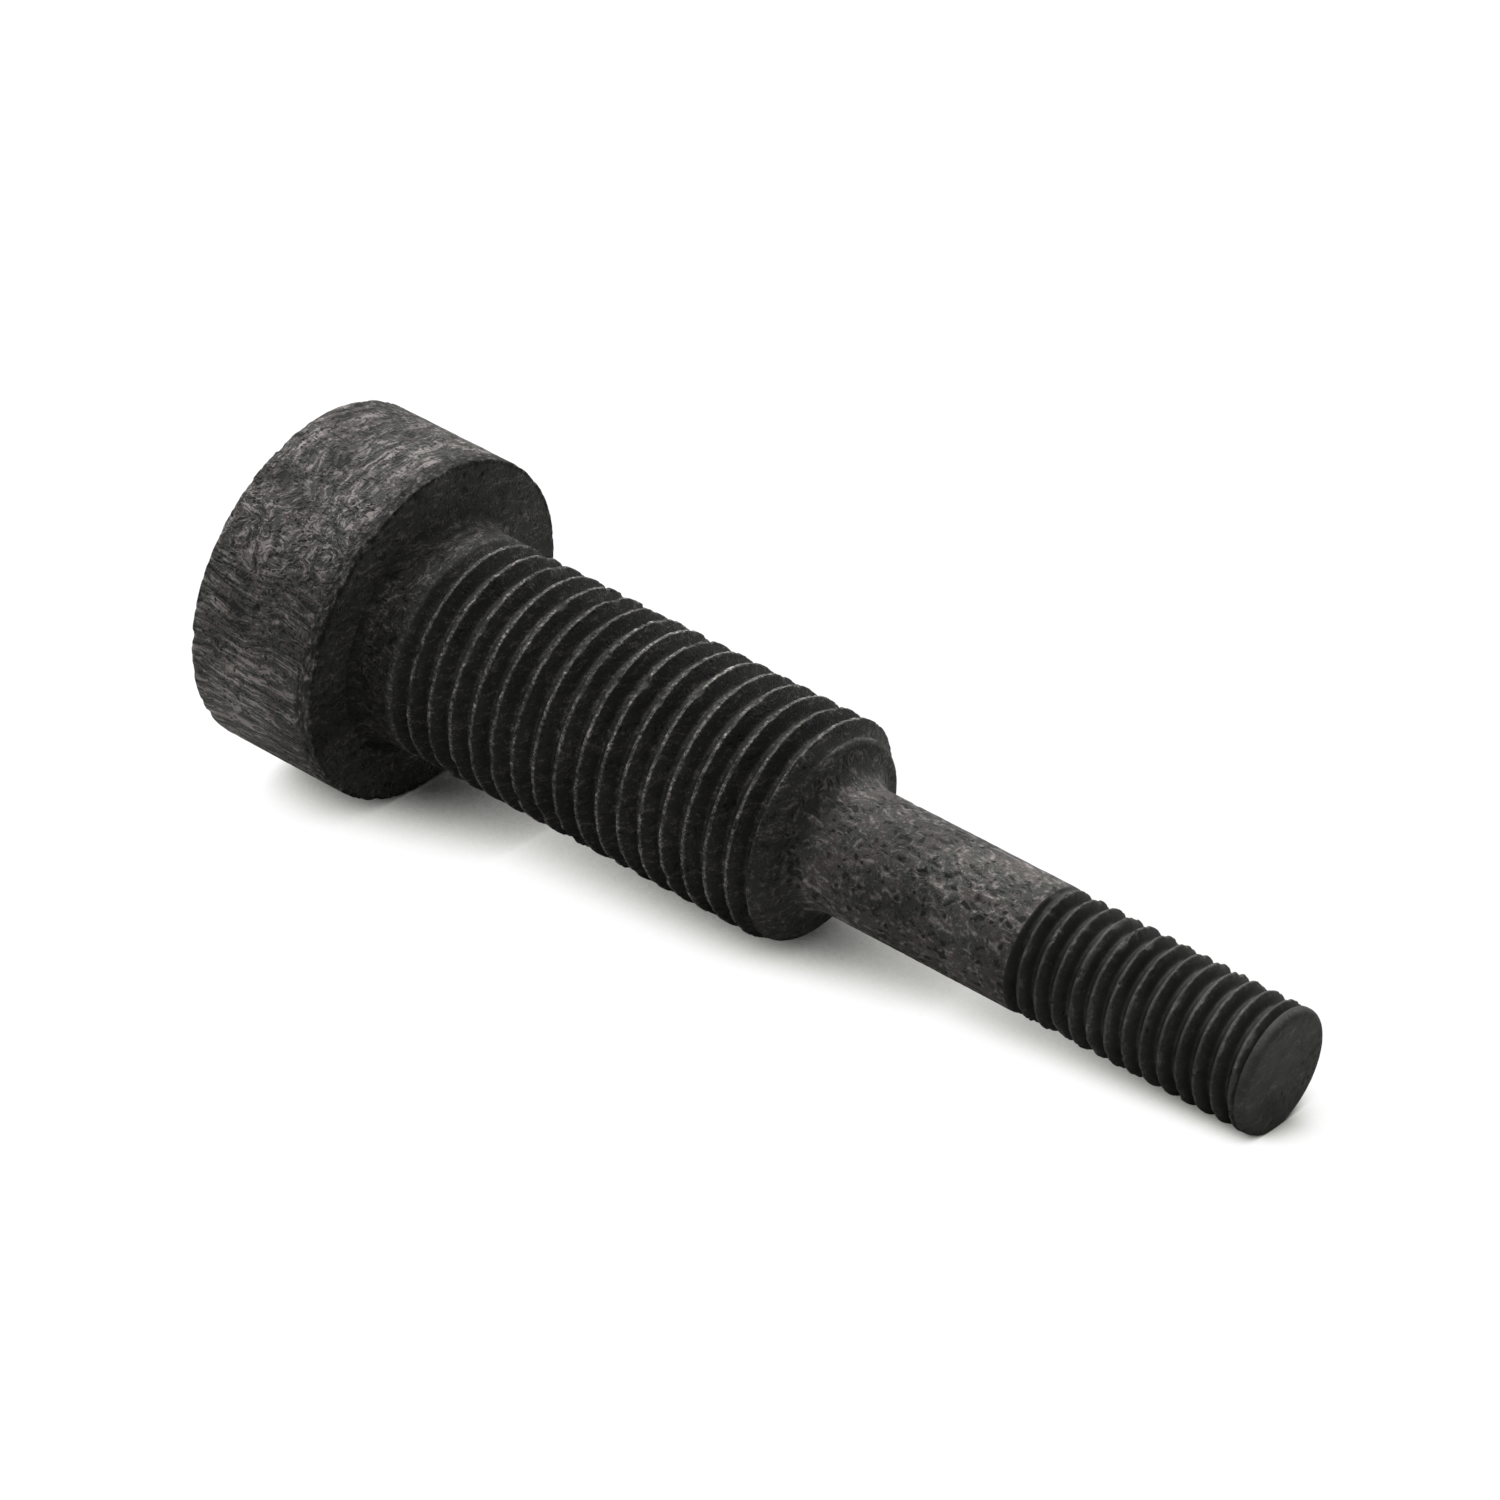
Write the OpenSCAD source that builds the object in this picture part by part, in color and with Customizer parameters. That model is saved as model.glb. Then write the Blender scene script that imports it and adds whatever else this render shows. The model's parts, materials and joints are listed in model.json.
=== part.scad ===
// Stepped bolt cut from one blank of felt-reinforced carbon composite.
// The bolt's axis is +X, from the head to the tip, and +Z is up.
// The origin is the centre of the bearing face under the head.

/* [Head] */
// Diameter of the plain round head
head_d = 28; // [26:0.5:34]
// Height of the head
head_h = 12; // [10:0.5:18]
// Hexagon socket, size across its flats
socket_af = 14; // [10:1:16]
// Depth of the hexagon socket
socket_depth = 7; // [4:0.5:8]

/* [Neck] */
// Length of the neck between the head and the main thread
neck_l = 3; // [2:0.5:8]
// Radius of the fillet between the bearing face and the neck
neck_fillet = 1; // [0.4:0.1:1.6]

/* [Main thread] */
// Major diameter of the main thread
main_d = 18; // [16:0.5:24]
// Pitch of the main thread
main_pitch = 2; // [1.5:0.25:2.5]
// Distance from the bearing face to the shoulder at the end of the main thread
main_end = 38.5; // [25:0.5:60]
// Where around the bolt the main thread's crest starts, in turns
main_start = 0.5; // [0:0.05:0.95]

/* [Shoulder] */
// Radius of the fillet from the shoulder face into the pilot
shoulder_fillet = 2.5; // [0.5:0.1:2.8]

/* [Pilot] */
// Diameter of the plain pilot, and major diameter of its thread
pilot_d = 10; // [8:0.5:11]
// Distance from the bearing face to the start of the pilot thread
pilot_thread_start = 58; // [50:0.5:70]
// Pitch of the pilot thread
pilot_pitch = 1.5; // [1:0.25:1.75]
// Where around the bolt the pilot thread's crest starts, in turns
pilot_start = 0.15; // [0:0.05:0.95]
// Distance from the bearing face to the tip
tip_end = 79; // [73:0.5:100]
// Thickness of the plain disc at the tip
tip_l = 0.8; // [0.6:0.1:1.5]
// Chamfer on the edge of the tip
tip_chamfer = 0.4; // [0.2:0.1:0.5]

/* [Hidden] */
$fn = 72;
head_side_colour = [0.36, 0.34, 0.33];
thread_colour = [0.17, 0.17, 0.17];
tip_colour = [0.22, 0.22, 0.21];
// Depth of an external thread with 60 degree flanks, as a share of the pitch
depth_share = 0.6134;
// Where along one pitch the crest ends, the root begins and the root ends
crest_end = 0.125;
root_start = 0.479;
root_end = 0.646;
// The neck's root fills a round seat of this depth in the head, so the bearing face is a ring
seat_depth = 1;
neck_root_r = main_d / 2 + neck_fillet;
// Columns of points around each thread
main_columns = 32;
pilot_columns = 24;
// The main thread runs out over one pitch below the neck, the pilot's over half a pitch
main_runout = main_pitch;
pilot_runout = pilot_pitch / 2;
// The chamfer at the end of the main thread goes down to the thread's root
main_root_r = main_d / 2 - depth_share * main_pitch;
pilot_r = pilot_d / 2;
tip_r = pilot_r - 0.3;

// Turns +Z into +X
module along_axis() rotate([0, 90, 0]) children();

// Radius of a thread at a phase of t pitches: crest, flank, root and flank again
function groove(t, depth) = lookup(t - floor(t),
    [[0, 0], [crest_end, 0], [root_start, depth], [root_end, depth], [1, 0]]);

// Radius at height z and angle a. The groove fades in over the run-out at the start,
// and a 45 degree chamfer that reaches radius end_r at the end plane cuts the last turn.
function thread_r(z, a, start, d, pitch, depth, z0, z1, runout, end_r) = min(
    d / 2 - groove((z - z0) / pitch - a / 360 - start, depth) * min(1, (z - z0) / runout),
    end_r + z1 - z);

// Heights of the corners of the profile that one column crosses, between the end planes
function corner_heights(a, start, pitch, z0, z1) = [
    for (turn = [-2 : ceil((z1 - z0) / pitch)], share = [0, crest_end, root_start, root_end])
        let (z = z0 + pitch * (turn + share + a / 360 + start))
            if (z > z0 + 0.001 && z < z1 - 0.001) z];

// One column of points: the start plane, every corner, and the end plane
function column(a, start, d, pitch, depth, z0, z1, runout, end_r) = [
    for (z = concat([z0], corner_heights(a, start, pitch, z0, z1), [z1]))
        let (r = thread_r(z, a, start, d, pitch, depth, z0, z1, runout, end_r))
            [r * cos(a), r * sin(a), z]];

function running_sum(v) = [for (i = 0, s = 0; i < len(v); s = s + v[i], i = i + 1) s];

// How many of a column's corners the next column has pushed past the end plane
function corners_lost(a, step, start, pitch, z0, z1) = len([
    for (z = corner_heights(a, start, pitch, z0, z1))
        if (z + pitch * step / 360 >= z1 - 0.001) z]);

// Triangles between the column of n points that starts at index i and its neighbour of m points
// that starts at k. The neighbour has some corners more at its start and some fewer at its end:
// a fan of triangles takes each up, and pairs of triangles join the corners between them.
function strip(i, n, k, m, gained, lost) = concat(
    [for (g = [0 : gained]) [i, k + g + 1, k + g]],
    [[i, i + 1, k + gained + 1]],
    [for (q = [1 : 1 : n - 3 - lost], upper = [0, 1])
        upper == 0
            ? [i + q, i + q + 1, k + gained + q]
            : [i + q + 1, k + gained + q + 1, k + gained + q]],
    [[i + n - 2 - lost, k + m - 1, k + m - 2]],
    [for (q = [n - 2 - lost : n - 2]) [i + q, i + q + 1, k + m - 1]]);

// A right-hand thread as one closed solid, with flat ends at z0 and z1
module thread(d, pitch, start, z0, z1, runout, end_r, columns) {
    depth = depth_share * pitch;
    step = 360 / columns;
    cols = [for (j = [0 : columns - 1])
        column(j * step, start, d, pitch, depth, z0, z1, runout, end_r)];
    counts = [for (c = cols) len(c)];
    first = running_sum(counts);
    sides = [for (j = [0 : columns - 1])
        let (next = (j + 1) % columns)
        let (lost = corners_lost(j * step, step, start, pitch, z0, z1))
        each strip(first[j], counts[j], first[next], counts[next],
            counts[next] - counts[j] + lost, lost)];
    start_cap = [for (j = [0 : columns - 1]) first[j]];
    end_cap = [for (j = [columns - 1 : -1 : 0]) first[j] + counts[j] - 1];
    polyhedron(points = [for (c = cols) each c], faces = concat(sides, [start_cap, end_cap]));
}

// Round head with sharp rims, a hexagon socket in its top and the neck's seat in its underside
module head() {
    color(head_side_colour)
        along_axis()
            difference() {
                translate([0, 0, -head_h])
                    cylinder(h = head_h, d = head_d);
                translate([0, 0, -head_h - 1])
                    cylinder(h = socket_depth + 1, d = socket_af / cos(30), $fn = 6);
                translate([0, 0, -seat_depth])
                    cylinder(h = seat_depth + 1, r = neck_root_r);
            }
}

// Plain neck at the full diameter, with a fillet up to the bearing face and a root in the head
module neck() {
    color(head_side_colour)
        along_axis()
            rotate_extrude()
                difference() {
                    union() {
                        translate([0, -seat_depth])
                            square([main_d / 2, seat_depth + neck_l]);
                        translate([0, -seat_depth])
                            square([neck_root_r, seat_depth + neck_fillet]);
                    }
                    translate([neck_root_r, neck_fillet])
                        circle(r = neck_fillet);
                }
}

// Main thread, from the neck to the shoulder face
module main_thread() {
    color(thread_colour)
        along_axis()
            thread(main_d, main_pitch, main_start, neck_l, main_end,
                main_runout, main_root_r, main_columns);
}

// Fillet that carries the shoulder face into the pilot
module shoulder() {
    color(head_side_colour)
        along_axis()
            translate([0, 0, main_end])
                rotate_extrude()
                    difference() {
                        square([pilot_r + shoulder_fillet, shoulder_fillet]);
                        translate([pilot_r + shoulder_fillet, shoulder_fillet])
                            circle(r = shoulder_fillet);
                    }
}

// Plain pilot between the shoulder and its thread
module pilot_shank() {
    color(head_side_colour)
        along_axis()
            translate([0, 0, main_end + shoulder_fillet])
                cylinder(h = pilot_thread_start - main_end - shoulder_fillet, r = pilot_r);
}

// Coarser thread on the pilot
module pilot_thread() {
    color(thread_colour)
        along_axis()
            thread(pilot_d, pilot_pitch, pilot_start, pilot_thread_start, tip_end - tip_l,
                pilot_runout, tip_r, pilot_columns);
}

// Flat tip with a broken edge
module tip() {
    color(tip_colour)
        along_axis()
            translate([0, 0, tip_end - tip_l]) {
                cylinder(h = tip_l - tip_chamfer, r = tip_r);
                translate([0, 0, tip_l - tip_chamfer])
                    cylinder(h = tip_chamfer, r1 = tip_r, r2 = tip_r - tip_chamfer);
            }
}

head();
neck();
main_thread();
shoulder();
pilot_shank();
pilot_thread();
tip();
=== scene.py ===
"""Looks of the stepped bolt: fine meshes for its seven sections, carbon felt materials, a pale floor,
soft light and the camera. The shapes are worked out in millimetres and made in metres."""

import json
import math

import bpy
import numpy as np
from mathutils import Matrix, Vector

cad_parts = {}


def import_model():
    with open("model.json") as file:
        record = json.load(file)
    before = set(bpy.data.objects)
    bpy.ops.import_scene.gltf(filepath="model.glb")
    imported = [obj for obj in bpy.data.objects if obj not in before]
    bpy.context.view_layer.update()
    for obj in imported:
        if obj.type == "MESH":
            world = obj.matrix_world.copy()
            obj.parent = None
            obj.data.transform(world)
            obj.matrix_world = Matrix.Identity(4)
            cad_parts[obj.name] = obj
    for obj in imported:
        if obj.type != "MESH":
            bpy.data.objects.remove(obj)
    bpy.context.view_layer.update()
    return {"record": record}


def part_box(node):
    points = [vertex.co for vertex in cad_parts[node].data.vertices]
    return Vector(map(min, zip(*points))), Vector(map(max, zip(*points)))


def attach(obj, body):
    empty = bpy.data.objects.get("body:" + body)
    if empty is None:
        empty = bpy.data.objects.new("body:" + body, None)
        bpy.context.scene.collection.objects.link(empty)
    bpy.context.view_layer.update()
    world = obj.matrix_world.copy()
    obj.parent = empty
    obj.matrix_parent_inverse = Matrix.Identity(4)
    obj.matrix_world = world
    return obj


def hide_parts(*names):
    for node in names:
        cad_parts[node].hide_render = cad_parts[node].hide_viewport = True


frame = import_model()

MM = 0.001
TURN = 2 * math.pi
X, Y, Z = 0, 1, 2


# ---------------------------------------------------------------- sizes, in millimetres

def mount_size(name):
    """Radius and length that the record states for a mount."""
    found = next(m for m in frame["record"]["mounts"] if m["name"] == name)
    return found["dims"]["r_mm"], found["dims"]["length_mm"]


def span(node):
    """Where a CAD node starts and ends along the bolt."""
    low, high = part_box(node)
    return low.x / MM, high.x / MM


HEAD_R, HEAD_H = mount_size("head_side")
MAIN_R = mount_size("main_thread")[0]
PILOT_R = mount_size("pilot_shank")[0]
NECK_END = span("neck")[1]
MAIN_END = span("main_thread")[1]
SHOULDER_END = span("shoulder")[1]
SHANK_END = span("pilot_shank")[1]
THREAD_END, TIP_END = span("tip")
TIP_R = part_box("tip")[1].z / MM

RIM = 0.18
NECK_FILLET = 1.0
SHOULDER_FILLET = SHOULDER_END - MAIN_END
SHOULDER_R = PILOT_R + SHOULDER_FILLET

# The hexagon socket: from the axis to a flat, its depth, and the width of its bevelled mouth
SOCKET_FLAT = 7.0
SOCKET_DEPTH = 7.0
SOCKET_MOUTH = 0.35

# The tip: the length of its chamfer in the CAD, and the radius and curve of its worn edge here
TIP_CHAMFER = 0.4
TIP_EDGE = TIP_R + 0.24
TIP_CURVE = 0.55

# The threads: their pitches, and how many pitches from its beginning a crest starts below the axis
MAIN_PITCH = 2.03
MAIN_START = 0.3
PILOT_PITCH = 1.545
PILOT_START = -0.03

# The shape of one pitch, from 0 to 1: a flat crest, a flank, a flat root and a flank
CREST_END = 0.125
ROOT_START = 0.479
ROOT_END = 0.646
DEPTH_PER_PITCH = 0.6134

# Where the rows of a thread's mesh lie in one pitch: closest together on the crest
ROWS = (0.0, 0.02, 0.0625, 0.105, 0.125, 0.16, 0.23, 0.31, 0.39, 0.45, 0.50, 0.5625, 0.625, 0.675,
        0.75, 0.83, 0.91, 0.965)

# How much the radius falls per millimetre in the chamfer that ends a thread
CHAMFER_SLOPE = 1.36

# Points of a mesh nearer than this are one, and edges that turn by more degrees than this look sharp
SAME_POINT = 1e-6
SHARP_EDGE = 48


# ---------------------------------------------------------------- noise for the meshes

def lattice(cell, seed):
    """Pseudo-random numbers from 0 to 1 at whole-numbered lattice points."""
    mixed = (cell[..., 0] * 374761393 + cell[..., 1] * 668265263 + cell[..., 2] * 1442695041
             + seed * 974634777) & 0xFFFFFFFF
    mixed = ((mixed ^ (mixed >> 13)) * 1274126177) & 0xFFFFFFFF
    return ((mixed ^ (mixed >> 16)) & 0xFFFFFF) / 0xFFFFFF


def noise(points, size, seed):
    """Smooth noise from 0 to 1, with lumps about size millimetres across."""
    scaled = points / size
    cell = np.floor(scaled).astype(np.int64)
    part = scaled - cell
    part = part * part * (3 - 2 * part)
    total = 0.0
    for corner in np.ndindex(2, 2, 2):
        weight = np.prod(np.where(corner, part, 1 - part), axis=-1)
        total = total + weight * lattice(cell + np.array(corner), seed)
    return total


def smooth_step(low, high, value):
    """0 up to low, 1 from high on, and an S-shaped rise between them."""
    t = np.clip((value - low) / (high - low), 0, 1)
    return t * t * (3 - 2 * t)


def wear(points):
    """How deep the machined surface lies under its nominal one: felt unevenness and pores."""
    lumps = 0.02 * noise(points, size=1.1, seed=3) + 0.03 * noise(points, size=0.4, seed=5)
    open_areas = smooth_step(0.35, 0.75, noise(points, size=3.1, seed=7))
    pores = smooth_step(0.70, 0.84, noise(points * (0.6, 1, 1), size=0.42, seed=11))
    return lumps + 0.16 * pores * open_areas


def chips(points):
    """Extra depth on edges, where fibres have broken out."""
    small = smooth_step(0.45, 0.85, noise(points, size=0.4, seed=17))
    large = smooth_step(0.62, 0.9, noise(points, size=1.3, seed=19))
    return 0.07 * small + 0.16 * large


# ---------------------------------------------------------------- meshes

def around(x, r, angle):
    """Points at distances x along the axis and radii r. The angle is 0 below the axis."""
    return np.stack([x, r * np.sin(angle), -r * np.cos(angle)], axis=-1)


def numbered(points):
    """A number for each point of a grid of rings by columns. A point that coincides with the one
    before it in its column shares that one's number. So does the whole first ring, and the last."""
    rings, columns = points.shape[:2]
    index = np.arange(rings * columns).reshape(rings, columns)
    for ring in range(1, rings):
        same = np.abs(points[ring] - points[ring - 1]).max(axis=-1) < SAME_POINT
        index[ring] = np.where(same, index[ring - 1], index[ring])
    for ring in (0, rings - 1):
        index[ring] = index[ring, 0]
    return index


def grid_faces(index, shift):
    """The faces of a grid of point numbers. Its last column meets the first one, shift rings on."""
    rings = len(index)
    seam = np.clip(np.arange(rings) + shift, 0, rings - 2)
    seam[[0, -1]] = 0, rings - 1
    closed = np.hstack([index, index[seam, :1]])
    quads = np.stack([closed[:-1, :-1], closed[:-1, 1:], closed[1:, 1:], closed[1:, :-1]], axis=-1)
    faces = [list(dict.fromkeys(quad)) for quad in quads.reshape(-1, 4).tolist()]
    return [face for face in faces if len(face) > 2]


def solid(name, x, r, shift=0):
    """A closed mesh from a grid of rings by columns, with distances x and radii r, and a point on
    the axis at either end. A shift other than 0 lets the rings climb like a thread."""
    x = np.vstack([np.full_like(x[:1], x[0, 0]), x, np.full_like(x[:1], x[-1, 0])])
    r = np.pad(r, ((1, 1), (0, 0)))
    columns = x.shape[1]
    points = around(x, r, TURN * np.arange(columns) / columns)
    faces = grid_faces(numbered(points), shift)
    used, compact = np.unique(np.concatenate(faces), return_inverse=True)
    ends = np.cumsum([len(face) for face in faces])
    faces = [part.tolist() for part in np.split(compact, ends[:-1])]
    mesh = bpy.data.meshes.new(name)
    mesh.from_pydata((points.reshape(-1, 3)[used] * MM).tolist(), [], faces)
    mesh.validate()
    mesh.shade_smooth()
    mesh.set_sharp_from_angle(angle=math.radians(SHARP_EDGE))
    piece = bpy.data.objects.new(name, mesh)
    bpy.context.scene.collection.objects.link(piece)
    return piece


def arc(x, r, radius, start, end, steps):
    """Points of an arc about (x, r). Angles are in degrees, from +x towards +r."""
    return [(x + radius * math.cos(math.radians(a)), r + radius * math.sin(math.radians(a)))
            for a in np.linspace(start, end, steps)]


def spread(corners, step):
    """The outline through corners, with points at most step apart."""
    outline = [corners[0]]
    for (x0, r0), (x1, r1) in zip(corners, corners[1:]):
        count = max(1, math.ceil(math.hypot(x1 - x0, r1 - r0) / step))
        outline += [(x0 + (x1 - x0) * k / count, r0 + (r1 - r0) * k / count)
                    for k in range(1, count + 1)]
    return np.array(outline)


def turned(name, corners, step, columns, edges=(), bend=None, worn=1.0):
    """A section turned about the axis: its outline, worn, and chipped at its edges. The function
    bend, where there is one, changes the radii first."""
    outline = spread(corners, step)
    angle = TURN * np.arange(columns) / columns
    tangent = np.gradient(outline, axis=0)
    tangent /= np.linalg.norm(tangent, axis=1)[:, None]
    x = np.repeat(outline[:, :1], columns, axis=1)
    r = np.repeat(outline[:, 1:], columns, axis=1)
    if bend is not None:
        r = bend(x, r, angle)
    points = around(x, r, angle)
    depth = wear(points) * worn
    for edge_x, edge_r in edges:
        near = 1 - smooth_step(0.1, 0.6, np.hypot(x - edge_x, r - edge_r))
        depth = depth + near * chips(points)
    return solid(name, x + depth * tangent[:, 1:], r - depth * tangent[:, :1])


def hexagon(angle):
    """Distance from the axis to the wall of a hexagon whose flats lie one unit from the axis."""
    return 1 / np.cos(np.mod(angle, TURN / 6) - TURN / 12)


def head():
    """The head with its hexagon socket. The socket's rings are hexagons, the rim's are circles."""
    top, bottom = -HEAD_H, SOCKET_DEPTH - HEAD_H
    mouth_r = SOCKET_FLAT + SOCKET_MOUTH
    corners = [(bottom, 0.3), (bottom, SOCKET_FLAT), (top + SOCKET_MOUTH, SOCKET_FLAT), (top, mouth_r),
               (top, HEAD_R - RIM)]
    corners += arc(top + RIM, HEAD_R - RIM, RIM, 180, 90, 5)[1:]
    corners += arc(-RIM, HEAD_R - RIM, RIM, 90, 0, 5)
    corners += [(0, MAIN_R + NECK_FILLET)]

    def bend(x, r, angle):
        """Makes hexagons of the rings inside the socket, and less and less so towards the rim."""
        fade = 1 - smooth_step(mouth_r, HEAD_R - 2, r)
        return np.where(x <= bottom, r * (1 + (hexagon(angle) - 1) * fade), r)

    edges = [(top, HEAD_R), (0, HEAD_R)]
    return turned("head_body", corners, step=0.17, columns=420, edges=edges, bend=bend)


def neck():
    """The fillet under the bearing face and the plain neck."""
    corners = arc(NECK_FILLET, MAIN_R + NECK_FILLET, NECK_FILLET, 180, 270, 8)
    corners += [(NECK_END, MAIN_R)]
    return turned("neck_body", corners, step=0.16, columns=360)


def shoulder():
    """The fillet from the end of the main thread down to the pilot."""
    corners = arc(SHOULDER_END, SHOULDER_R, SHOULDER_FILLET, 180, 270, 24)
    return turned("shoulder_body", corners, step=0.16, columns=320)


def pilot_shank():
    """The plain pilot."""
    corners = [(SHOULDER_END, PILOT_R), (SHANK_END, PILOT_R)]
    return turned("pilot_shank_body", corners, step=0.15, columns=240)


def tip():
    """The flat tip with its rounded edge."""
    corners = [(THREAD_END, TIP_EDGE)]
    corners += arc(TIP_END - TIP_CURVE, TIP_EDGE - TIP_CURVE, TIP_CURVE, 90, 0, 9)
    corners += [(TIP_END, 0.15)]
    return turned("tip_body", corners, step=0.12, columns=220, worn=0.35)


def groove(phase, depth, rounded):
    """How deep the thread is at a phase in pitches. Its corners are sharp where rounded is 0, and it
    is a plain wave where rounded is 1."""
    t = np.mod(phase, 1)
    sharp = np.interp(t, [0, CREST_END, ROOT_START, ROOT_END, 1], [0, 0, depth, depth, 0])
    # The flanks ease off near the root
    eased = 0.93 * depth
    sharp = np.minimum(sharp, eased + (sharp - eased) * 0.4)
    wave = depth * (0.48 - 0.48 * np.cos(TURN * (t - CREST_END / 2)))
    return sharp + (wave - sharp) * rounded


def thread(name, radius, pitch, start, z0, z1, runout, end_r, columns, rounded=0.0):
    """A right-hand thread from z0 to z1, with rows that follow its helix, worn along its crest. It
    deepens over the length runout, and its chamfer ends at radius end_r."""
    depth = DEPTH_PER_PITCH * pitch
    turns = math.ceil((z1 - z0) / pitch) + 3
    phase = np.concatenate([np.array(ROWS) + turn for turn in range(turns)])
    share = np.arange(columns) / columns
    first = math.floor(start) - 2
    z = z0 + pitch * (phase[:, None] + share[None, :] + start + first)
    z = np.clip(z, z0, z1)
    fade = smooth_step(0, runout, z - z0)
    cut = groove((z - z0) / pitch - share - start, depth, rounded) * fade
    r = np.minimum(radius - cut, end_r + (z1 - z) * CHAMFER_SLOPE)
    points = around(z, r, TURN * share)
    crest = 1 - smooth_step(0.02, 0.3, radius - r)
    r = r - wear(points) * (0.45 + 0.55 * crest) - crest * chips(points) * fade
    return solid(name, z, r, shift=len(ROWS))


def main_thread():
    """The thread between the neck and the shoulder."""
    return thread("main_thread_body", MAIN_R, MAIN_PITCH, MAIN_START, NECK_END, MAIN_END,
                  runout=0.8 * MAIN_PITCH, end_r=SHOULDER_R, columns=300)


def pilot_thread():
    """The thread on the pilot, more worn than the main one."""
    return thread("pilot_thread_body", PILOT_R, PILOT_PITCH, PILOT_START, SHANK_END, THREAD_END,
                  runout=PILOT_PITCH / 2, end_r=TIP_EDGE, columns=240, rounded=0.6)


# ---------------------------------------------------------------- shader nodes

class Nodes:
    """Short calls that add shader nodes to a material or a world."""

    def __init__(self, owner):
        owner.use_nodes = True
        self.tree = owner.node_tree
        self.tree.nodes.clear()

    def add(self, kind, output, inputs, **settings):
        """A new node's output, after its settings and inputs are filled in."""
        node = self.tree.nodes.new(kind)
        for key, value in settings.items():
            setattr(node, key, value)
        for key, value in inputs.items():
            self.feed(node.inputs[key], value)
        return node.outputs[output]

    def feed(self, socket, value):
        """Links a socket to another node's output, or sets it to a constant."""
        if isinstance(value, bpy.types.NodeSocket):
            self.tree.links.new(value, socket)
        else:
            socket.default_value = value

    def finish(self, kind, shader):
        """Ends the tree with an output node."""
        output = self.tree.nodes.new(kind)
        self.tree.links.new(shader, output.inputs["Surface"])

    def coordinate(self, output):
        return self.add("ShaderNodeTexCoord", output, {})

    def axis(self, vector, which):
        return self.add("ShaderNodeSeparateXYZ", which, {0: vector})

    def vector(self, operation, a, b=(0, 0, 0)):
        return self.add("ShaderNodeVectorMath", 0, {0: a, 1: b}, operation=operation)

    def scaled(self, vector, scale):
        return self.vector("MULTIPLY", vector, scale)

    def radius(self, point):
        """The distance from the bolt's axis."""
        across = self.scaled(point, (0, 1, 1))
        return self.add("ShaderNodeVectorMath", "Value", {0: across}, operation="LENGTH")

    def math(self, operation, a, b=0.0):
        return self.add("ShaderNodeMath", 0, {0: a, 1: b}, operation=operation)

    def product(self, first, *others):
        """All the values multiplied."""
        for value in others:
            first = self.math("MULTIPLY", first, value)
        return first

    def total(self, *parts):
        """The sum of values, each given with its weight, and a last plain number."""
        result = parts[-1]
        for value, weight in parts[:-1]:
            result = self.add("ShaderNodeMath", 0, {0: value, 1: weight, 2: result},
                              operation="MULTIPLY_ADD")
        return result

    def noise(self, vector, scale, detail=2.0, output=0):
        return self.add("ShaderNodeTexNoise", output,
                        {"Vector": vector, "Scale": scale, "Detail": detail})

    def step(self, value, low, high, start=0.0, end=1.0):
        """start up to low, end from high on, and an S-shaped change between them."""
        return self.add("ShaderNodeMapRange", 0,
                        {"Value": value, "From Min": low, "From Max": high,
                         "To Min": start, "To Max": end}, interpolation_type="SMOOTHSTEP")

    def blend(self, factor, a, b):
        return self.add("ShaderNodeMix", 0, {0: factor, 2: a, 3: b}, data_type="FLOAT")

    def colours(self, factor, a, b):
        return self.add("ShaderNodeMix", 2, {0: factor, 6: a, 7: b}, data_type="RGBA")


# ---------------------------------------------------------------- what the felt is made of

def drift(n, point, scale, reach):
    """Smooth random shifts, spread over reach along each axis."""
    colour = n.noise(point, scale, 1.0, "Color")
    return n.scaled(n.vector("SUBTRACT", colour, (0.5, 0.5, 0.5)), (reach,) * 3)


def warped(n, point, wide, close):
    """The position in millimetres, bent as needling bends the layers of the felt."""
    slow = drift(n, point, 0.17, wide)
    quick = drift(n, point, 0.75, close)
    return n.vector("ADD", n.vector("ADD", point, slow), quick)


def strands(n, point, along, bundle, single, length=0.17):
    """Fibres that run along X or Y: bundles and, in them, single fibres. bundle and single say how
    many lie side by side in a millimetre, and length how often a bundle changes in that distance."""
    def stretched(across, lengthwise):
        scale = [across * 0.9, across * 0.9, across * 1.1]
        scale[along] = lengthwise
        return n.scaled(point, tuple(scale))
    thick = n.noise(stretched(bundle, length), 1.0, 2.0)
    thin = n.noise(stretched(single, 0.55), 1.0, 1.0)
    return n.total((thick, 0.64), (thin, 0.48), -0.06)


def worms(n, point, size):
    """Short curled fibres: stretches of the lines on which a noise crosses its middle. size is
    how many of its lumps fit in a millimetre."""
    bent = warped(n, point, wide=1.0, close=0.7)
    value = n.noise(n.scaled(bent, (size, size * 1.2, size * 1.2)), 1.0, 1.0)
    aside = n.math("ABSOLUTE", n.math("SUBTRACT", value, 0.5))
    drawn = n.step(n.noise(point, 0.9, 1.0), 0.36, 0.60, 0.2, 1.0)
    return n.product(n.step(aside, 0.0, 0.12, 1.0, 0.0), drawn)


def pits(n, point, size, share):
    """1 in oval holes, 0 elsewhere. size is how many fit in a millimetre. The larger share is, the
    larger are the areas that have holes."""
    stretched = n.scaled(warped(n, point, wide=0.0, close=1.4), (size * 0.8, size * 1.5, size))
    distance = n.add("ShaderNodeTexVoronoi", "Distance", {"Vector": stretched, "Scale": 1.0})
    crowd = n.step(n.noise(point, 0.45, 1.0), 0.62 - share, 0.70 - share)
    return n.product(n.step(distance, 0.20, 0.38, 1.0, 0.0), crowd)


# Each of these gives the height of the fibres, about 0.5, and how bright the felt is there, which on
# the head and the neck includes painted light and shade

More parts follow.
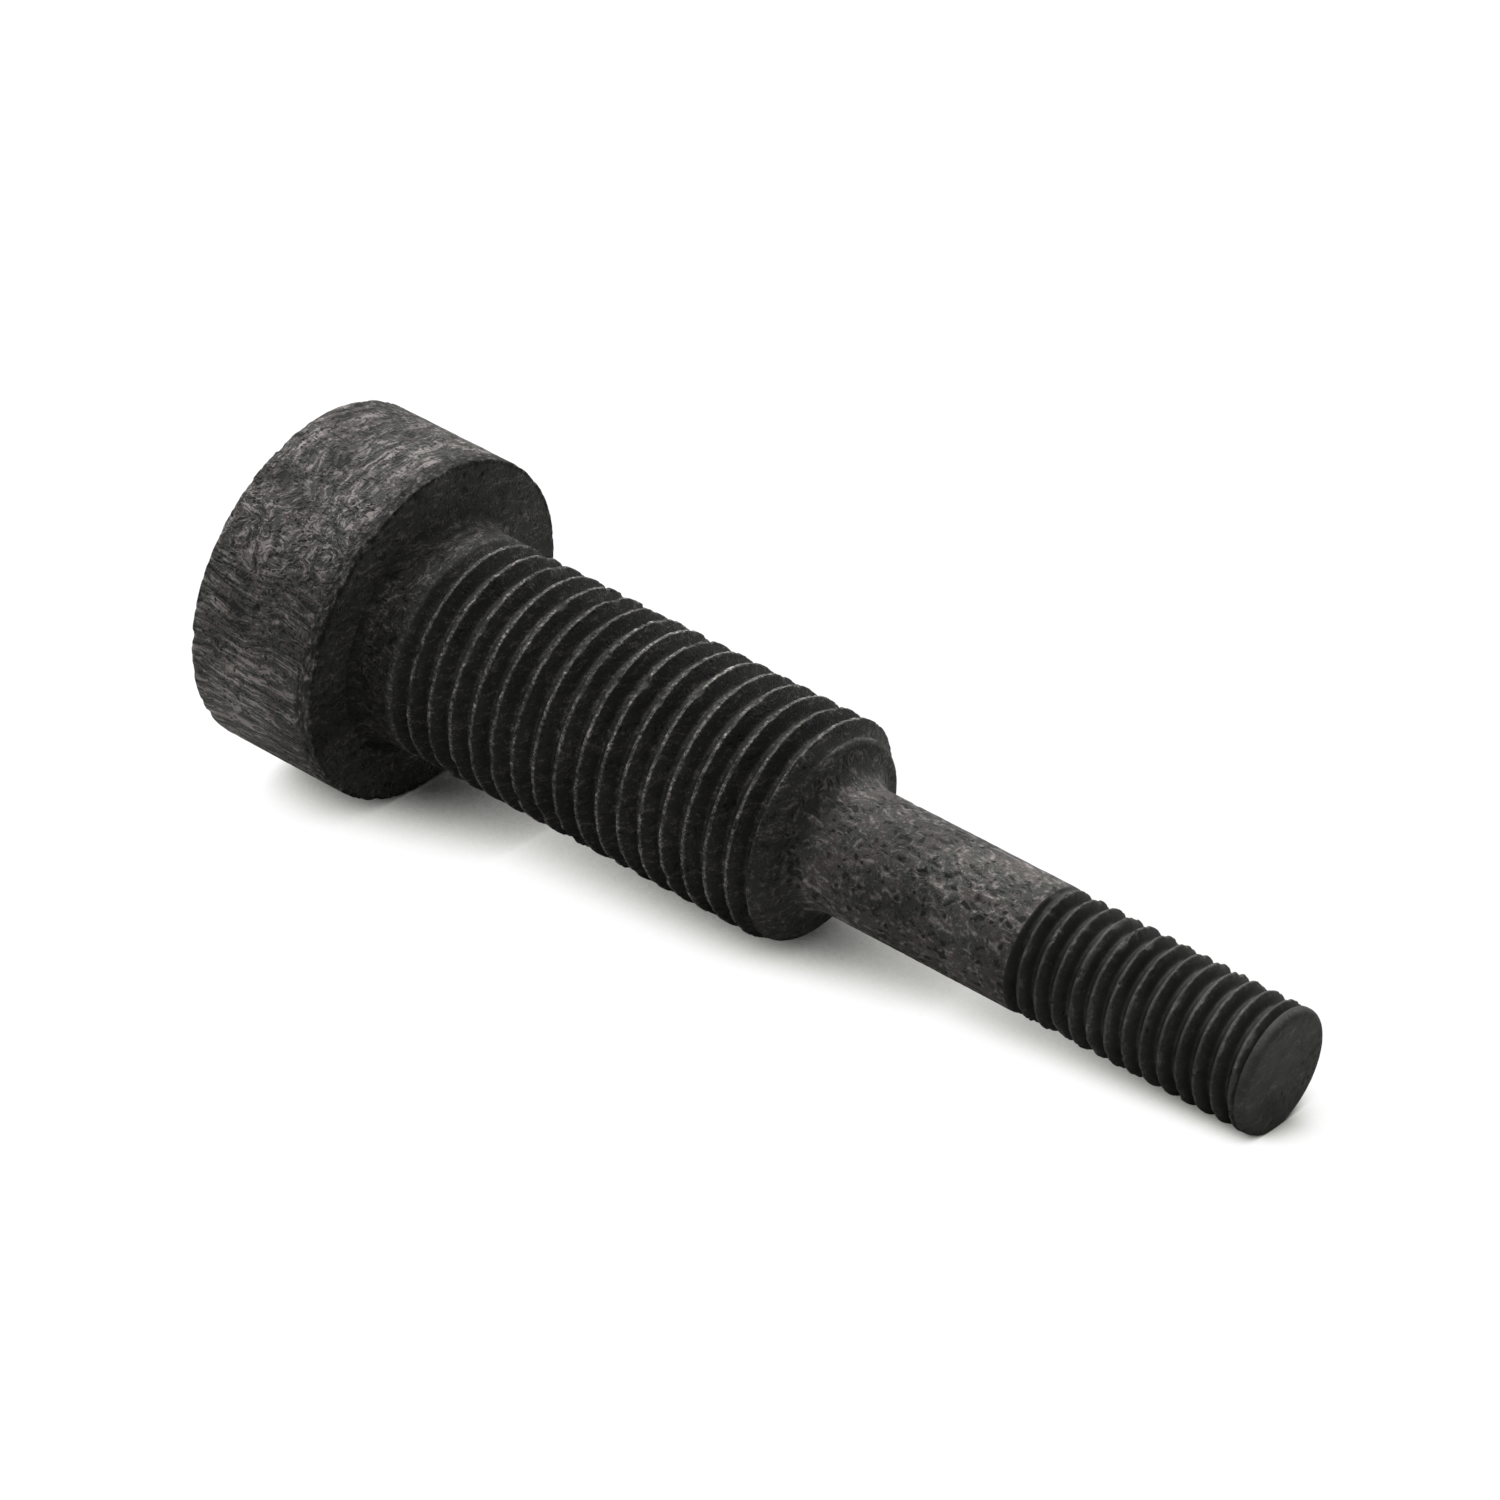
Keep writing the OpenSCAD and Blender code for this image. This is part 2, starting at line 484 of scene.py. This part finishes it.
def cut_felt(n, point):
    """What a cut across the fibres shows: grains, with few fibres in sight."""
    grains = n.noise(n.scaled(point, (1.8, 1.2, 2.4)), 1.0, 4.0)
    few = strands(n, warped(n, point, wide=2.0, close=1.2), Y, bundle=1.4, single=4.0)
    return n.total((grains, 0.3), (few, 0.42), 0.14), 1.0


def smooth_felt(n, point):
    """A cut that is rubbed smooth."""
    mottled = n.step(n.noise(point, 0.7, 1.0), 0.3, 0.7, 0.85, 1.2)
    return n.total((cut_felt(n, point)[0], 0.4), 0.30), mottled


def head_felt_and_shading(n, point):
    """Layers square to Z: fibres along X low down, whorls above them, and along Y at the top. Next
    to the bearing face they are torn to grains. The faces across the axis and the socket are cut.
    Heights are in millimetres above the axis."""
    height = n.axis(warped(n, point, wide=2.0, close=0.9), Z)
    bent = warped(n, point, wide=2.6, close=0.55)
    curled = warped(n, point, wide=3.0, close=1.9)
    low = strands(n, bent, X, bundle=1.9, single=7.0)
    whorls = strands(n, curled, Y, bundle=1.7, single=5.0, length=0.4)
    high = strands(n, bent, Y, bundle=1.8, single=5.5, length=0.22)
    fibre = n.blend(n.step(height, 7.0, 8.0), low, whorls)
    fibre = n.blend(n.step(height, 10.4, 11.6), fibre, high)
    sparse = n.product(n.step(height, 1.0, 2.5), n.step(height, 6.5, 8.0, 1.0, 0.0))
    patches = n.step(n.noise(point, 0.33, 1.0), 0.40, 0.60, -0.03, 0.02)
    fibre = n.total((fibre, 1.0), (sparse, -0.03), (patches, 0.6), (worms(n, point, 0.8), 0.06), 0.0)

    side = n.step(n.radius(point), HEAD_R - 0.6, HEAD_R - 0.25)
    ragged = n.total((n.axis(point, X), 1.0), (n.noise(point, 0.6, 2.0), 1.2), -0.6)
    torn = n.product(n.step(ragged, -1.8, -0.9), side)
    grains = n.total((n.noise(n.scaled(point, (3.4, 1.6, 1.6)), 1.0, 3.0), 1.35), -0.24)
    fibre = n.blend(n.product(torn, 0.85), fibre, grains)
    fibre = n.blend(side, cut_felt(n, point)[0], fibre)

    # Painted light and shade by height. On the side, painted light brightens it below its upper part
    # and painted shade dims the very bottom; the torn band is darker of itself. On the cut faces,
    # painted shade darkens them below the axis and painted light brightens them above it.
    side_tone_and_shading = n.product(n.step(height, 4.5, 7.5, 1.5, 0.95), n.step(torn, 0.0, 1.0, 1.0, 0.6),
                          n.step(height, -4.0, 0.0, 0.83, 1.0))
    cut_face_painted_shading = n.step(height, -3.0, 5.0, 0.85, 1.15)
    return fibre, n.blend(side, cut_face_painted_shading, side_tone_and_shading)


def neck_felt_and_shadow(n, point):
    """Fibres along Y, darker below the top with painted shade, the shadow of the head on the neck."""
    height = n.axis(warped(n, point, wide=2.0, close=0.9), Z)
    fibre = strands(n, warped(n, point, wide=2.6, close=1.0), Y, bundle=1.6, single=5.0)
    # Painted shade: the neck is dark below its top
    return n.total((fibre, 0.9), 0.05), n.step(height, 3.0, 8.0, 0.40, 0.95)


def shank_felt(n, point):
    """Short curled fibres, tangled to soft lumps."""
    bent = warped(n, point, wide=2.0, close=1.6)
    tangled = strands(n, bent, X, bundle=1.4, single=3.4)
    lumps = n.noise(bent, 1.7, 2.0)
    return n.total((tangled, 0.40), (lumps, 0.43), (worms(n, point, 0.9), 0.05), 0.075), 1.0


# ---------------------------------------------------------------- materials

GROUND = (0.0445, 0.0468, 0.0415, 1)
WARM_GROUND = (0.064, 0.0575, 0.0545, 1)
FIBRE = (0.240, 0.215, 0.209, 1)
# The darkest colour is painted shade in the pits and in the gaps between fibres
PIT_SHADE = (0.006, 0.0067, 0.0063, 1)


def thread_wear_and_shading(n, point, crest_r, end_r, start_x, end_x, below, dots, root):
    """How bright a thread is. Its crest is mottled between the two values of dots, worn fibres with a
    painted highlight, and goes over to root between the two depths of below, a darker finish with
    painted shade in the grooves. end_r is the radius at the small end of its chamfer."""
    along = n.axis(point, X)
    chamfer = n.total((along, -CHAMFER_SLOPE), end_r + end_x * CHAMFER_SLOPE)
    depth = n.math("SUBTRACT", n.math("MINIMUM", crest_r, chamfer), n.radius(point))
    # The worn crests carry a painted highlight, and the darker roots carry painted shade
    crest = n.step(n.noise(point, 4.5, 1.0), 0.40, 0.62, *dots)
    tone_and_shading = n.blend(n.step(depth, *below), crest, root)
    tone_and_shading = n.blend(n.step(along, start_x, start_x + 0.8), 0.6, tone_and_shading)
    return n.blend(n.step(along, end_x - 1.2, end_x - 0.6), tone_and_shading, 1.1)


def carbon(name, felt, holes, bright=1.0, ends=0.5, warm=1.0, glints=0.7, relief=0.7, thread_look=None):
    """Machined carbon felt, with holes given as the size and share of its pits, which are dark with
    painted shade. bright scales its brightness, and ends does so again on cuts across the bolt's axis,
    as fibre ends trap light. warm says how brown it is, flecks how many painted glints it has, and
    relief how uneven it is. thread_look goes to thread_wear_and_shading."""
    material = bpy.data.materials.new(name)
    n = Nodes(material)
    point = n.scaled(n.coordinate("Object"), (1 / MM,) * 3)
    end_grain = n.step(n.math("ABSOLUTE", n.axis(n.coordinate("Normal"), X)), 0.25, 0.85)

    fibre, tone_and_shading = felt(n, point)
    fine = n.noise(point, 5.5, 2.0)
    fibre = n.total((fibre, 1.0), (fine, 0.45 * relief), -0.225 * relief)
    # Painted shade in the gaps between fibres and, below, in the pits
    gap = n.step(fibre, 0.36, 0.45, 1.0, 0.0)
    hole = n.math("MAXIMUM", gap, pits(n, point, *holes))
    # Painted glints: light specks in the colour, fewer on cuts across the axis
    glint_specks = n.product(n.step(n.noise(point, 6.5, 1.0), 0.66, 0.74),
                       n.step(end_grain, 0, 1, glints, glints / 2))
    light = n.math("MAXIMUM", n.step(fibre, 0.49, 0.70), glint_specks)

    # The felt's tone brings painted shading on the head and the neck, and the thread's painted
    # highlight and shade
    shade = n.product(n.step(n.noise(point, 0.16, 1.0), 0.3, 0.7, 0.75, 1.25),
                      n.step(end_grain, 0.0, 1.0, bright, bright * ends), tone_and_shading)
    if thread_look is not None:
        shade = n.product(shade, thread_wear_and_shading(n, point, **thread_look))

    warmth = n.product(n.step(n.noise(point, 0.55, 1.0), 0.42, 0.58),
                       n.step(end_grain, 0.0, 1.0, warm, 0.0))
    base = n.colours(light, n.colours(warmth, GROUND, WARM_GROUND), FIBRE)
    # Painted shade fills the pits and gaps
    base = n.colours(n.product(hole, 0.9), base, PIT_SHADE)
    base = n.add("ShaderNodeVectorMath", 0, {0: base, "Scale": shade}, operation="SCALE")
    height = n.total((light, 0.6), (fine, 0.35), (hole, -1.0), 0.0)
    bump = n.add("ShaderNodeBump", 0, {"Height": height, "Strength": relief, "Distance": 0.00012})
    rough = n.math("SUBTRACT", 0.75, n.product(light, 0.2))
    shader = n.add("ShaderNodeBsdfPrincipled", 0,
                   {"Base Color": base, "Roughness": rough, "Normal": bump,
                    "Specular IOR Level": 0.3})
    n.finish("ShaderNodeOutputMaterial", shader)
    return material


# dots is the painted highlight on worn crests, and root the darker finish with painted shade in the
# grooves
MAIN_LOOK = {"crest_r": MAIN_R, "end_r": SHOULDER_R, "start_x": NECK_END, "end_x": MAIN_END,
             "below": (0.05, 0.2), "dots": (0.8, 2.5), "root": 0.66}
PILOT_LOOK = {"crest_r": PILOT_R, "end_r": TIP_EDGE, "start_x": SHANK_END, "end_x": THREAD_END,
              "below": (0.1, 0.7), "dots": (0.95, 1.35), "root": 0.68}

head_carbon = carbon("carbon_head", head_felt_and_shading, (2.0, 0.24), ends=0.6)
neck_carbon = carbon("carbon_neck", neck_felt_and_shadow, (1.9, 0.08), 0.92, warm=0.3)
main_carbon = carbon("carbon_main_thread", cut_felt, (1.9, 0.0), 1.1, warm=0.2, glints=0.25,
                     thread_look=MAIN_LOOK)
shank_carbon = carbon("carbon_shank", shank_felt, (1.3, 0.2), 1.18, relief=0.5)
pilot_carbon = carbon("carbon_pilot_thread", smooth_felt, (1.9, 0.0), 1.1, warm=0.0, glints=0.1,
                      relief=0.25, thread_look=PILOT_LOOK)
tip_carbon = carbon("carbon_tip", smooth_felt, (1.9, 0.0), ends=0.9, warm=0.0, glints=0.1, relief=0.3)


# ---------------------------------------------------------------- the seven sections

SECTIONS = (
    (head, "head", "carbon_felt", head_carbon),
    (neck, "neck", "carbon_felt", neck_carbon),
    (main_thread, "main_thread", "carbon_thread", main_carbon),
    (shoulder, "shoulder", "carbon_felt", shank_carbon),
    (pilot_shank, "pilot_shank", "carbon_felt", shank_carbon),
    (pilot_thread, "pilot_thread", "carbon_thread", pilot_carbon),
    (tip, "tip", "carbon_tip", tip_carbon),
)
for make, node, slot, material in SECTIONS:
    piece = make()
    piece.data.materials.append(material)
    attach(piece, "root")
    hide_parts(node)


# ---------------------------------------------------------------- stage, light and camera, in metres

# The bolt lies on the rim of its head and on the edge of its tip, so its axis is tilted
FLOOR_TILT = math.atan((HEAD_R - TIP_R) / (TIP_END - TIP_CHAMFER))
FLOOR_TURN = Matrix.Rotation(-FLOOR_TILT, 4, "Y")
CONTACT = Vector((0, 0, -HEAD_R * MM))
FLOOR_HALF = 4.0
SHADOW_REACH = 0.012

LAMP_TARGET = Vector((0.033, 0, 0))
LAMP_DISTANCE = 0.7
LAMP_SIZE = 0.4

# Name, azimuth, elevation and power
LAMPS = (
    ("key", -135, 60, 5.5),
    ("left_strip", -90, 12, 3.4),
    ("left_high", -90, 30, 0.7),
    ("back_strip", 178, 10, 1.7),
    ("fill", 62, 58, 1.3),
)

CAMERA_TARGET = Vector((0.0303, 0, 0.0038))
CAMERA_AZIMUTH = 38.8
CAMERA_ELEVATION = 28.5
CAMERA_DISTANCE = 0.515
CAMERA_SENSOR_MM = 36
CAMERA_LENS_MM = 169.4


def paper():
    """White paper, lit from within so that only the closeness of the bolt shades it. The bolt
    itself is lit by it as by plain grey paper."""
    material = bpy.data.materials.new("floor_paper")
    n = Nodes(material)
    # The painted shadow is measured along this slant
    shadow_from = n.add("ShaderNodeCombineXYZ", 0, {0: -0.35, 1: -0.35, 2: 0.87})
    free = n.add("ShaderNodeAmbientOcclusion", "AO", {"Distance": SHADOW_REACH, "Normal": shadow_from},
                 samples=24)
    strength = n.step(free, 0.18, 0.65, 0.01, 1.03)
    # The painted shadow turns a little yellow where it is deep
    shadow_tint = n.colours(n.step(strength, 0.6, 1.0), (1, 1, 0.955, 1), (1, 1, 1, 1))
    glow = n.add("ShaderNodeEmission", 0, {"Color": shadow_tint, "Strength": strength})
    grain = n.noise(n.coordinate("Object"), 900.0)
    colour = n.colours(grain, (0.52, 0.52, 0.51, 1), (0.54, 0.54, 0.53, 1))
    grey = n.add("ShaderNodeBsdfDiffuse", 0, {"Color": colour})
    seen = n.add("ShaderNodeLightPath", "Is Camera Ray", {})
    n.finish("ShaderNodeOutputMaterial", n.add("ShaderNodeMixShader", 0, {0: seen, 1: grey, 2: glow}))
    return material


def floor():
    """A square of paper that the bolt lies on."""
    corners = [(x * FLOOR_HALF, y * FLOOR_HALF, 0) for x, y in ((-1, -1), (1, -1), (1, 1), (-1, 1))]
    mesh = bpy.data.meshes.new("floor")
    mesh.from_pydata(corners, [], [(0, 1, 2, 3)])
    mesh.materials.append(paper())
    plane = bpy.data.objects.new("floor", mesh)
    plane.matrix_world = Matrix.Translation(CONTACT) @ FLOOR_TURN
    bpy.context.scene.collection.objects.link(plane)


def facing(target, azimuth, elevation, distance):
    """Placement of a lamp or a camera that looks at target from a distance. The angles are in
    degrees, in the floor's frame: azimuth 0 is -Y and 90 is +X."""
    a, e = math.radians(azimuth), math.radians(elevation)
    way = Vector((math.sin(a) * math.cos(e), -math.cos(a) * math.cos(e), math.sin(e)))
    turn = (-way).to_track_quat("-Z", "Y").to_matrix().to_4x4()
    return Matrix.Translation(target) @ FLOOR_TURN @ Matrix.Translation(way * distance) @ turn


def lamp(name, azimuth, elevation, power):
    """A square lamp that points at the middle of the bolt."""
    data = bpy.data.lights.new(name, "AREA")
    data.size = LAMP_SIZE
    data.energy = power
    light = bpy.data.objects.new(name, data)
    light.matrix_world = facing(LAMP_TARGET, azimuth, elevation, LAMP_DISTANCE)
    bpy.context.scene.collection.objects.link(light)


def world():
    """A room that is bright overhead and dim at the height of the table."""
    studio = bpy.data.worlds.new("studio")
    n = Nodes(studio)
    strength = n.step(n.axis(n.coordinate("Generated"), Z), 0.0, 0.9, 0.02, 0.06)
    glow = n.add("ShaderNodeBackground", 0, {"Color": (1, 1, 1, 1), "Strength": strength})
    n.finish("ShaderNodeOutputWorld", glow)
    bpy.context.scene.world = studio


def camera():
    """The camera that takes the picture."""
    data = bpy.data.cameras.new("camera")
    data.sensor_width = CAMERA_SENSOR_MM
    data.lens = CAMERA_LENS_MM
    data.clip_start = 0.01
    data.clip_end = 50
    seen_from = bpy.data.objects.new("camera", data)
    seen_from.matrix_world = facing(CAMERA_TARGET, CAMERA_AZIMUTH, CAMERA_ELEVATION, CAMERA_DISTANCE)
    bpy.context.scene.collection.objects.link(seen_from)
    bpy.context.scene.camera = seen_from


floor()
world()
for settings in LAMPS:
    lamp(*settings)
camera()

# Plain display, without a film look
bpy.context.scene.view_settings.view_transform = "Standard"
